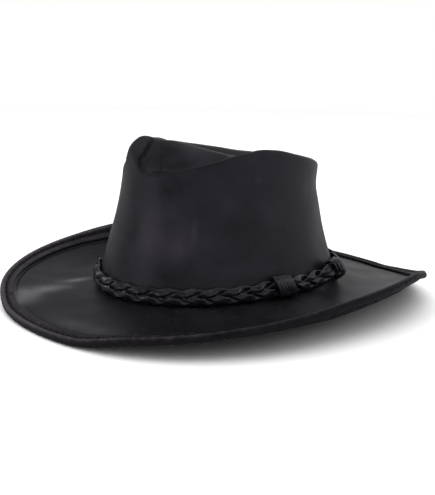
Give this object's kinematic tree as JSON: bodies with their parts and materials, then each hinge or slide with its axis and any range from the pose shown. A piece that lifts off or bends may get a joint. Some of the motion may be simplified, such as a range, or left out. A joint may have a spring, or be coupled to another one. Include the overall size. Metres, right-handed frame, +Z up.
{
  "type": "bush hat",
  "caption": "Wide-brimmed leather bush hat with a pinched, dented crown, a bound brim that curls up at the sides and a plaited band.",
  "frame": {"origin": "on the floor below the middle of the brim", "axes": "+X to the wearer's left, -Y to the front of the hat, +Z up"},
  "size_m": [0.3084, 0.344, 0.1333],
  "materials": {
    "crown_leather": "black waxed leather with a soft sheen",
    "brim_leather": "black waxed leather with a soft sheen",
    "binding_leather": "worn black leather, stitched and slightly rough",
    "lace_leather": "black leather lace, slightly glossy"
  },
  "bodies": {
    "root": {"crown": "crown_leather", "brim": "brim_leather", "brim_binding": "binding_leather", "braid_lace_1": "lace_leather", "braid_lace_2": "lace_leather", "braid_lace_3": "lace_leather", "keeper_side": "lace_leather", "keeper_back": "lace_leather"}
  },
  "joints": []
}
